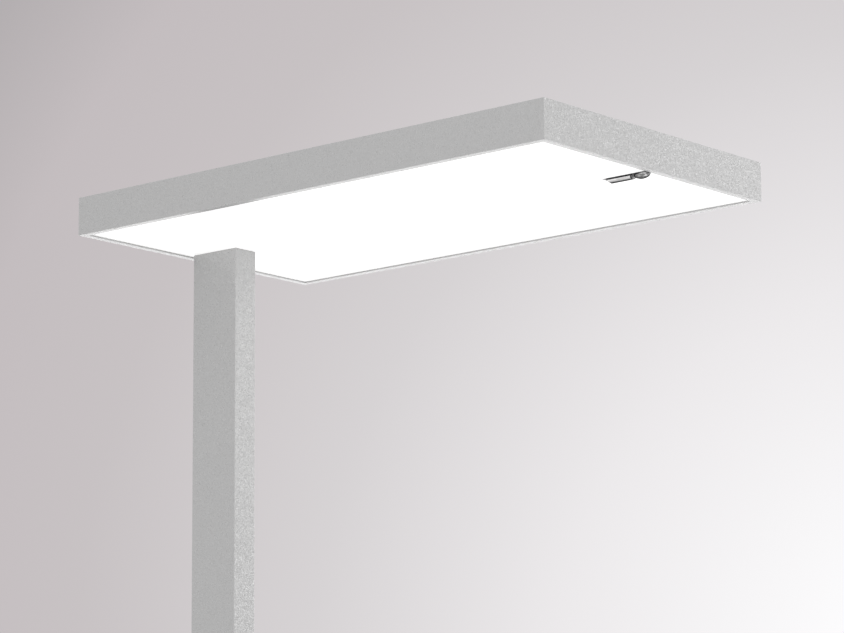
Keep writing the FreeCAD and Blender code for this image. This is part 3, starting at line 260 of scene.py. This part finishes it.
def make_world():
    """A pale backdrop all round, with the studio gradient in the direction that the photo shows."""
    world = bpy.data.worlds.new("world")
    world.use_nodes = True
    world.node_tree.nodes.clear()
    sky = Shading(world.node_tree, "Generated")
    forward, right, up = view_axes()
    right_part = right * (BRIGHT_SPOT[0] * FRAME_HALF_WIDTH)
    up_part = up * (BRIGHT_SPOT[1] * FRAME_HALF_HEIGHT)
    spot = (forward + right_part + up_part).normalized()
    away = sky.vector("LENGTH", sky.vector("SUBTRACT", sky.place, tuple(spot)))
    ramp = sky.add("ShaderNodeValToRGB")
    sky.feed(sky.math("DIVIDE", away, GRADIENT_REACH), ramp.inputs["Fac"])
    while len(ramp.color_ramp.elements) < len(BACKDROP_STOPS):
        ramp.color_ramp.elements.new(0.5)
    for element, (position, colour) in zip(ramp.color_ramp.elements, BACKDROP_STOPS):
        element.position = position
        element.color = (*colour, 1.0)
    off_view = sky.vector("DOT_PRODUCT", sky.place, tuple(forward))
    patch = sky.span(off_view, PATCH_OUTER, PATCH_INNER)
    backdrop = sky.add("ShaderNodeBackground")
    sky.feed(sky.mix(patch, BACKDROP_TONE, ramp.outputs["Color"]), backdrop.inputs["Color"])
    daylight = sky.add("ShaderNodeBackground")
    daylight.inputs["Color"].default_value = grey(1.0)
    daylight.inputs["Strength"].default_value = DAYLIGHT
    choice = sky.add("ShaderNodeMixShader")
    sky.feed(seen_directly(sky), choice.inputs[0])
    sky.feed(daylight.outputs[0], choice.inputs[1])
    sky.feed(backdrop.outputs[0], choice.inputs[2])
    output = sky.add("ShaderNodeOutputWorld")
    sky.feed(choice.outputs[0], output.inputs["Surface"])
    bpy.context.scene.world = world


def floor_finish():
    """Plain pale floor, which keeps the shadow near the lamp and fades into the backdrop."""
    floor = Finish("studio_floor", Roughness=0.75)
    floor.shader.inputs["Specular IOR Level"].default_value = 0.2
    clouds = floor.noise(0.9, detail=2)
    floor.drive(Base_Color=floor.mix(clouds, grey(0.80), grey(0.84)))
    away = floor.vector("LENGTH", floor.place)
    fade = floor.math("MULTIPLY", floor.span(away, *FLOOR_FADE), seen_directly(floor))
    far = floor.add("ShaderNodeEmission")
    far.inputs["Color"].default_value = BACKDROP_TONE
    choice = floor.add("ShaderNodeMixShader")
    floor.feed(fade, choice.inputs[0])
    floor.feed(floor.shader.outputs[0], choice.inputs[1])
    floor.feed(far.outputs[0], choice.inputs[2])
    output = floor.tree.nodes["Material Output"]
    floor.feed(choice.outputs[0], output.inputs["Surface"])
    return floor.material


def make_floor():
    form = bmesh.new()
    bmesh.ops.create_circle(form, cap_ends=True, segments=FLOOR_SIDES, radius=FLOOR_RADIUS)
    data = bpy.data.meshes.new("studio_floor")
    form.to_mesh(data)
    form.free()
    data.materials.append(floor_finish())
    floor = bpy.data.objects.new("studio_floor", data)
    bpy.context.scene.collection.objects.link(floor)


def make_lamp(name, yaw, lift, distance, size, power, mirrored=True):
    """A soft light of size (width, height), aimed at the object's upper part from yaw degrees
    round +Z and lift degrees up. One that isn't mirrored gives no highlights."""
    data = bpy.data.lights.new(name, "AREA")
    data.shape = "RECTANGLE"
    data.size, data.size_y = size
    data.energy = power
    lamp = bpy.data.objects.new(name, data)
    turn = math.radians(yaw)
    rise = math.radians(lift)
    away = Vector((
        math.cos(turn) * math.cos(rise),
        math.sin(turn) * math.cos(rise),
        math.sin(rise),
    ))
    aim = Vector(((CAD_LOW.x + CAD_HIGH.x) / 2, 0, CAD_HIGH.z * LAMP_AIM))
    lamp.location = aim + away * distance
    lamp.rotation_mode = "QUATERNION"
    lamp.rotation_quaternion = away.to_track_quat("Z", "Y")
    lamp.visible_camera = False
    lamp.visible_glossy = mirrored
    bpy.context.scene.collection.objects.link(lamp)


def make_lights():
    make_lamp("key", yaw=74, lift=12, distance=4.4, size=(3.0, 2.4), power=40)
    make_lamp("fill", yaw=-46, lift=26, distance=3.6, size=(3.0, 3.0), power=53, mirrored=False)
    make_lamp("back", yaw=130, lift=-6, distance=4.6, size=(3.4, 1.2), power=20)


# ---- Finishes, one for each slot of the record ------------------------------------------------

FLAKE_SIZE = 1.1                # in grains
FLAKE_LEAN = 0.30
DULL_FLAKES = 0.90              # share of the flakes that don't shine
FLAKE_GLOSS = 0.20              # how much smoother a bright flake is than the coat
# share of the lighter colour on the bright flakes, a painted glint
FLAKE_PAINTED_GLINT = 0.05
SPARKLE = 1.35                  # colour of the painted edge highlight and of the painted glint on bright flakes, over the coat's
CLOUD_SIZE = 14                 # in grains
COAT_EDGE_HIGHLIGHT = 0.95                # share of the painted highlight's lighter colour on a sharp edge
COAT_EDGE_HIGHLIGHT_WIDTH = 0.8 * MM


def powder_coat(name, dark, light, grain, metallic, roughness):
    """Fine-textured metallic powder coat: a pebbled skin with flakes that catch the light, a
    painted highlight along sharp edges and a faint painted glint on the bright flakes.
    """
    coat = Finish(name, Metallic=metallic, Coat_Weight=0.6, Coat_Roughness=0.30)
    pebbles = coat.noise(grain, detail=2.5, roughness=0.6)
    clouds = coat.noise(grain * CLOUD_SIZE, detail=2)
    flakes = coat.cells(grain * FLAKE_SIZE)["Color"]
    shine = coat.add_after("ShaderNodeSeparateColor", flakes).outputs[0]
    bright_flakes = coat.span(shine, DULL_FLAKES, 1.0)
    tone = coat.math("MULTIPLY_ADD", coat.span(pebbles, 0.3, 0.7), 0.26, 0.27)
    tone = coat.math("MULTIPLY_ADD", clouds, 0.3, tone)
    colour = coat.mix(tone, dark, light)
    sparkle = scaled(light, SPARKLE)
    # painted glint: the bright flakes are tinted a little lighter
    colour = coat.mix(coat.math("MULTIPLY", bright_flakes, FLAKE_PAINTED_GLINT), colour, sparkle)
    # painted highlight: sharp edges take the lighter colour, standing in for the light they catch
    edge_wear_and_highlight = coat.math("MULTIPLY", coat.edges(COAT_EDGE_HIGHLIGHT_WIDTH), COAT_EDGE_HIGHLIGHT)
    colour = coat.mix(edge_wear_and_highlight, colour, sparkle)
    dullness = coat.math("MULTIPLY_ADD", bright_flakes, -FLAKE_GLOSS, roughness)
    dullness = coat.math("MULTIPLY_ADD", clouds, 0.08, dullness)
    pebbled = coat.bump(pebbles, grain * 0.10, 0.5)
    normal = coat.tilted(pebbled, grain * FLAKE_SIZE, FLAKE_LEAN)
    return coat.drive(Base_Color=colour, Roughness=dullness, Normal=normal)


def silver_coat():
    return powder_coat(
        "silver_coat", grey(0.42), grey(0.475), grain=0.9 * MM, metallic=0.35, roughness=0.38)


def base_coat():
    return powder_coat(
        "base_coat", grey(0.38), grey(0.46), grain=1.6 * MM, metallic=0.30, roughness=0.44)


def brushed(name, colour, direction, roughness):
    """Bare metal with fine lines along one axis, from drawing or turning."""
    metal = Finish(name, Metallic=1.0)
    stretch = [30 if a == direction else 1 for a in "XYZ"]
    lines = metal.noise(0.25 * MM, detail=3, stretch=stretch)
    stains = metal.noise(12 * MM, detail=2)
    streaks = metal.math("MULTIPLY_ADD", lines, 0.5, 0.25)
    tone = metal.mix(streaks, scaled(colour, 0.78), colour)
    edge_wear_and_highlight = metal.math("MULTIPLY", metal.edges(0.4 * MM), 0.4)
    tone = metal.mix(edge_wear_and_highlight, tone, grey(min(1.0, colour[0] * 1.25)))
    dullness = metal.math("MULTIPLY_ADD", stains, 0.2, roughness - 0.1)
    normal = metal.bump(lines, 0.02 * MM, 0.5)
    return metal.drive(Base_Color=tone, Roughness=dullness, Normal=normal)


PLASTICS = {        # dark and light tone, the texture's size and depth in mm, roughness
    "white_tray": (0.80, 0.88, 1.0, 0.04, 0.5),
    "driver_case": (0.60, 0.70, 0.8, 0.03, 0.48),
    "white_plastic": (0.80, 0.88, 0.5, 0.02, 0.42),
    "grey_plastic": (0.16, 0.21, 0.45, 0.05, 0.46),
    "button_plastic": (0.46, 0.54, 0.4, 0.02, 0.38),
    "black_plastic": (0.018, 0.032, 0.5, 0.05, 0.44),
    "black_cable": (0.016, 0.030, 0.7, 0.04, 0.50),
}


def plastic(name):
    """Moulded plastic with a spark-eroded texture and slight flow clouds."""
    dark, light, texture, depth, roughness = PLASTICS[name]
    skin = Finish(name, IOR=1.5)
    grain = skin.noise(texture * MM, detail=3, roughness=0.6)
    flow = skin.noise(22 * MM, detail=2)
    rubbed = skin.math("MULTIPLY", skin.edges(0.5 * MM), 0.35)
    tone = skin.mix(skin.math("MULTIPLY_ADD", grain, 0.5, 0.25), grey(dark), grey(light))
    tone = skin.mix(rubbed, tone, scaled(grey(light), 1.3))
    dullness = skin.math("MULTIPLY_ADD", flow, 0.14, roughness - 0.07)
    normal = skin.bump(grain, depth * MM, 0.6)
    return skin.drive(Base_Color=tone, Roughness=dullness, Normal=normal)


OPAL_RIM = (4 * MM, 40 * MM)    # inside the sheet's edge, where the glow rises
OPAL_GLOW = (0.36, 0.46)
OPAL_HAZE = 0.04


def opal_sheet():
    """Lit opal acrylic: a satin skin that glows evenly, a little less towards the rim."""
    sheet = Finish("opal_sheet", IOR=1.49)
    satin = sheet.noise(0.35 * MM, detail=3)
    haze = sheet.noise(60 * MM, detail=1)
    low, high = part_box("diffuser")
    middle = (low + high) / 2
    half = (high - low) / 2
    reach_x = sheet.math("ABSOLUTE", sheet.math("SUBTRACT", sheet.axis("X"), middle.x))
    reach_y = sheet.math("ABSOLUTE", sheet.math("SUBTRACT", sheet.axis("Y"), middle.y))
    inside_x = sheet.math("SUBTRACT", half.x, reach_x)
    inside_y = sheet.math("SUBTRACT", half.y, reach_y)
    inside = sheet.math("MINIMUM", inside_x, inside_y)
    glow = sheet.span(inside, *OPAL_RIM, *OPAL_GLOW)
    glow = sheet.math("MULTIPLY_ADD", haze, OPAL_HAZE, glow)
    sheet.shader.inputs["Emission Color"].default_value = (1.0, 0.995, 0.985, 1.0)
    tone = sheet.mix(satin, grey(0.86), grey(0.90))
    dullness = sheet.math("MULTIPLY_ADD", satin, 0.12, 0.42)
    normal = sheet.bump(satin, 0.01 * MM, 0.3)
    return sheet.drive(
        Base_Color=tone, Roughness=dullness, Normal=normal, Emission_Strength=glow)


LED_PITCH = Vector((0.030, 0.100, 1.0))         # along and between the rows under the window
LED_SPOT = (14 * MM, 2 * MM)                    # from where a diode's spot starts to its full glow
LED_SPOT_GLOW = (0.0, 0.30)
LED_HALO = (50 * MM, 4 * MM)
LED_HALO_GLOW = (0.10, 0.24)


def frosted_sheet():
    """Frosted window over the uplights: the rows of LEDs show as soft bright spots."""
    sheet = Finish("frosted_sheet", IOR=1.49)
    frost = sheet.noise(0.4 * MM, detail=4)
    boards_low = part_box("uplight_boards")[0]
    first = (boards_low.x + LED_PITCH.x / 2, 0, 0)
    offset = sheet.vector("SUBTRACT", sheet.place, first)
    nearest = sheet.vector("WRAP", offset, tuple(LED_PITCH / 2), tuple(-LED_PITCH / 2))
    flat = sheet.vector("MULTIPLY", nearest, (1, 1, 0))
    away = sheet.vector("LENGTH", flat)
    spot = sheet.span(away, *LED_SPOT, *LED_SPOT_GLOW)
    halo = sheet.span(away, *LED_HALO, *LED_HALO_GLOW)
    glow = sheet.math("ADD", spot, halo)
    sheet.shader.inputs["Emission Color"].default_value = (1.0, 0.99, 0.97, 1.0)
    tone = sheet.mix(frost, grey(0.58), grey(0.64))
    dullness = sheet.math("MULTIPLY_ADD", frost, 0.15, 0.45)
    normal = sheet.bump(frost, 0.03 * MM, 0.4)
    return sheet.drive(
        Base_Color=tone, Roughness=dullness, Normal=normal, Emission_Strength=glow)


def polished(name, bright, smeared, painted_dark_outline):
    """Chrome plate with polishing smears; its colour is painted dark where the surface turns away,
    a painted dark reflection along its outline.
    """
    chrome = Finish(name, Metallic=1.0, Specular_Tint=grey(0.25))
    smears = chrome.noise(2.2 * MM, detail=3, stretch=(3, 1, 1))
    streaks = chrome.span(smears, 0.40, 0.62)
    tone = chrome.mix(streaks, grey(smeared), grey(bright))
    # painted shade: the colour darkens to near black towards grazing angles, a painted dark
    # reflection along the outline
    turned = chrome.add("ShaderNodeLayerWeight").outputs["Facing"]
    tone = chrome.mix(chrome.span(turned, *painted_dark_outline), tone, grey(0.09))
    dullness = chrome.math("MULTIPLY_ADD", smears, 0.14, 0.05)
    normal = chrome.bump(smears, 0.04 * MM, 0.5)
    return chrome.drive(Base_Color=tone, Roughness=dullness, Normal=normal)


COLLAR_LENGTH = 2.3 * MM        # blackened, behind the sensor's tube
COLLAR_FADE = 0.2 * MM


def dark_metal():
    """Blackened collar, and the bare steel tongue that it carries into the knuckle."""
    metal = Finish("dark_metal", Metallic=1.0)
    turned = metal.noise(0.3 * MM, detail=3, stretch=(1, 20, 20))
    black = metal.mix(turned, grey(0.06), grey(0.11))
    bare = metal.mix(turned, grey(0.42), grey(0.58))
    collar_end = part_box("sensor_tube")[1].x + COLLAR_LENGTH
    past_collar = metal.span(metal.axis("X"), collar_end, collar_end + COLLAR_FADE)
    tone = metal.mix(past_collar, black, bare)
    dullness = metal.math("MULTIPLY_ADD", turned, 0.15, 0.28)
    normal = metal.bump(turned, 0.02 * MM, 0.5)
    return metal.drive(Base_Color=tone, Roughness=dullness, Normal=normal)


def lens_plastic():
    """Dark infrared lens with a faint violet cast."""
    lens = Finish("lens_plastic", IOR=1.54)
    rings = lens.noise(0.6 * MM, detail=2)
    tone = lens.mix(rings, (0.020, 0.014, 0.024, 1.0), (0.045, 0.030, 0.050, 1.0))
    dullness = lens.math("MULTIPLY_ADD", rings, 0.10, 0.10)
    lens.shader.inputs["Coat Weight"].default_value = 0.6
    normal = lens.bump(rings, 0.02 * MM, 0.3)
    return lens.drive(Base_Color=tone, Roughness=dullness, Normal=normal)


def mat_rubber():
    """Black rubber mat with a fine pebble and dusty edges."""
    rubber = Finish("mat_rubber", IOR=1.52)
    pebble = rubber.cells(1.6 * MM)["Distance"]
    dust = rubber.noise(18 * MM, detail=4)
    tone = rubber.mix(dust, (0.016, 0.016, 0.016, 1.0), (0.040, 0.039, 0.037, 1.0))
    dusty = rubber.math("MULTIPLY", rubber.edges(0.8 * MM), 0.5)
    tone = rubber.mix(dusty, tone, grey(0.10))
    dullness = rubber.math("MULTIPLY_ADD", dust, 0.2, 0.62)
    normal = rubber.bump(pebble, 0.25 * MM, 0.7)
    return rubber.drive(Base_Color=tone, Roughness=dullness, Normal=normal)


def circuit_board():
    """Green solder mask over copper tracks, seen as slightly raised lighter lines."""
    board = Finish("circuit_board", IOR=1.5)
    tracks = board.cells(3.2 * MM, "DISTANCE_TO_EDGE")["Distance"]
    raised = board.span(tracks, 0.10, 0.04)
    weave = board.noise(0.4 * MM, detail=3)
    tone = board.mix(raised, (0.010, 0.085, 0.035, 1.0), (0.030, 0.160, 0.070, 1.0))
    dullness = board.math("MULTIPLY_ADD", weave, 0.15, 0.28)
    normal = board.bump(raised, 0.05 * MM, 0.7)
    return board.drive(Base_Color=tone, Roughness=dullness, Normal=normal)


def light_board():
    """White solder mask on the LED boards, a little yellowed in patches."""
    board = Finish("light_board", IOR=1.5)
    tracks = board.cells(6 * MM, "DISTANCE_TO_EDGE")["Distance"]
    raised = board.span(tracks, 0.08, 0.03)
    aged = board.noise(9 * MM, detail=3)
    tone = board.mix(aged, grey(0.78, 0.02), grey(0.70, 0.06))
    dullness = board.math("MULTIPLY_ADD", aged, 0.12, 0.30)
    normal = board.bump(raised, 0.04 * MM, 0.6)
    return board.drive(Base_Color=tone, Roughness=dullness, Normal=normal)


FINISHES = {
    "silver_coat": silver_coat,
    "base_coat": base_coat,
    "bare_aluminium": lambda: brushed("bare_aluminium", (0.72, 0.72, 0.73, 1.0), "X", 0.32),
    "zinc_steel": lambda: brushed("zinc_steel", (0.55, 0.56, 0.58, 1.0), "Z", 0.30),
    "opal_sheet": opal_sheet,
    "frosted_sheet": frosted_sheet,
    "light_board": light_board,
    "circuit_board": circuit_board,
    "pin_brass": lambda: brushed("pin_brass", (0.78, 0.66, 0.40, 1.0), "X", 0.28),
    "mat_rubber": mat_rubber,
    "sensor_chrome": lambda: polished(
        "sensor_chrome", bright=0.98, smeared=0.80, painted_dark_outline=(0.12, 0.42)),
    "knuckle_chrome": lambda: polished(
        "knuckle_chrome", bright=0.85, smeared=0.22, painted_dark_outline=(0.10, 0.50)),
    "dark_metal": dark_metal,
    "lens_plastic": lens_plastic,
}


def dress_nodes():
    """Gives every carried-over node the finish of its slot."""
    finishes = {name: make() for name, make in FINISHES.items()}
    finishes.update((name, plastic(name)) for name in PLASTICS)
    for node in NODES.values():
        for place in node.material_slots:
            place.material = finishes[place.material.name.split(".")[0]]
    return finishes


# ---- Softened edges ---------------------------------------------------------------------------

EDGE_RADII = {      # in mm, as the coat, the moulding or the deburring leaves each piece's edges
    "right_rail": 0.25, "left_rail": 0.25, "front_rail": 0.25, "rear_rail": 0.25,
    "top_cover": 0.35, "mast_tube": 0.30, "base_plate": 0.35, "floor_mat": 0.40,
    "diffuser": 0.20, "uplight_window": 0.20, "control_panel": 0.20, "inlet_housing": 0.25,
    "inlet_pins": 0.25, "cover_screws": 0.10, "foot_grub_screws": 0.10,
    "sensor_tube": 0.10, "sensor_tongue": 0.10, "sensor_trough": 0.15,
}
EDGE_ANGLE = math.radians(32)
EDGE_SEGMENTS = 2
JOIN_DISTANCE = 0.002 * MM
FLAT_ANGLE = math.radians(0.3)  # faces closer than this are one flat face
AREA_WEIGHT = 100


def soften_edges():
    """Joins each listed node's facets into flat faces, and rounds its sharp edges."""
    for name, radius in EDGE_RADII.items():
        node = NODES[name]
        join = node.modifiers.new("join", "WELD")
        join.merge_threshold = JOIN_DISTANCE
        flatten = node.modifiers.new("flatten", "DECIMATE")
        flatten.decimate_type = "DISSOLVE"
        flatten.angle_limit = FLAT_ANGLE
        ease = node.modifiers.new("ease", "BEVEL")
        ease.width = radius * MM
        ease.segments = EDGE_SEGMENTS
        ease.limit_method = "ANGLE"
        ease.angle_limit = EDGE_ANGLE
        ease.use_clamp_overlap = False
        even = node.modifiers.new("even", "WEIGHTED_NORMAL")
        even.weight = AREA_WEIGHT


# ---- Marks on the two push buttons ------------------------------------------------------------

MARK_WIDTH = 4.6 * MM
MARK_HEIGHT = 3.8 * MM
MARK_DEPTH = 0.45 * MM
MARK_PROUD = 0.12 * MM          # above the bottom of the button's dish
DISH_DEPTH = 0.4 * MM
MARK_EDGE = 0.08 * MM


def arrow_mark(name, button, points_up, finish):
    """A small solid triangle let into a button's dish."""
    low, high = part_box(button)
    middle = (low + high) / 2
    front = high.x - DISH_DEPTH + MARK_PROUD
    sign = 1 if points_up else -1
    outline = (
        (-MARK_WIDTH / 2, -sign * MARK_HEIGHT / 3),
        (MARK_WIDTH / 2, -sign * MARK_HEIGHT / 3),
        (0, sign * MARK_HEIGHT * 2 / 3),
    )
    form = bmesh.new()
    corners = [form.verts.new((front, middle.y + y, middle.z + z)) for y, z in outline]
    face = form.faces.new(corners)
    form.normal_update()
    if face.normal.x < 0:
        face.normal_flip()
    back = bmesh.ops.extrude_face_region(form, geom=[face])
    moved = [v for v in back["geom"] if isinstance(v, bmesh.types.BMVert)]
    bmesh.ops.translate(form, verts=moved, vec=(-MARK_DEPTH, 0, 0))
    bmesh.ops.recalc_face_normals(form, faces=form.faces)
    bmesh.ops.bevel(
        form, geom=form.edges[:], offset=MARK_EDGE, segments=2, profile=0.5, affect="EDGES")
    data = bpy.data.meshes.new(name)
    form.to_mesh(data)
    form.free()
    data.materials.append(finish)
    mark = bpy.data.objects.new(name, data)
    bpy.context.scene.collection.objects.link(mark)
    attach(mark, button)


# ---- The scene --------------------------------------------------------------------------------

make_camera()
make_world()
make_floor()
make_lights()
finishes = dress_nodes()
soften_edges()
arrow_mark("up_mark", "up_button", True, finishes["grey_plastic"])
arrow_mark("down_mark", "down_button", False, finishes["grey_plastic"])

bpy.context.scene.view_settings.view_transform = "Standard"
